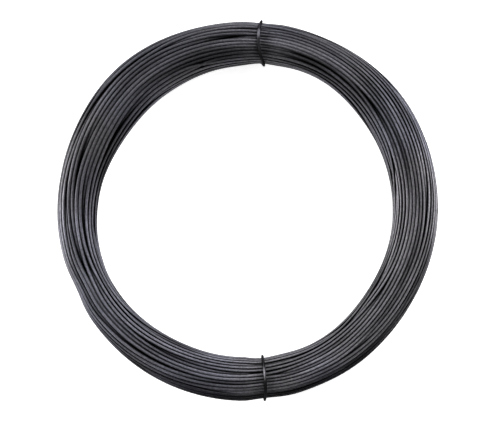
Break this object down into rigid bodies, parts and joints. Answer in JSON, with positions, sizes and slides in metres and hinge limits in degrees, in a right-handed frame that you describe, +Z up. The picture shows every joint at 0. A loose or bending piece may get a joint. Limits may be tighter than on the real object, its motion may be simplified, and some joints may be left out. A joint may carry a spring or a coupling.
{
  "type": "coil of black annealed wire",
  "caption": "Loose coil of black annealed steel wire lying flat, its turns held as one ring by twisted tie wires.",
  "frame": {"origin": "on the axis of the coil's bore, at the level floor that the coil lies on", "axes": "+Z up along the bore's axis; +Y towards the back tie wire, which is 5.2 degrees clockwise of it"},
  "size_m": [0.1897, 0.1908, 0.0207],
  "materials": {
    "annealed_wire": "matte",
    "tie_wire": "matte"
  },
  "bodies": {
    "root": {"wire_coil": "annealed_wire", "tie_wire_back": "tie_wire", "tie_wire_front": "tie_wire"}
  },
  "joints": []
}
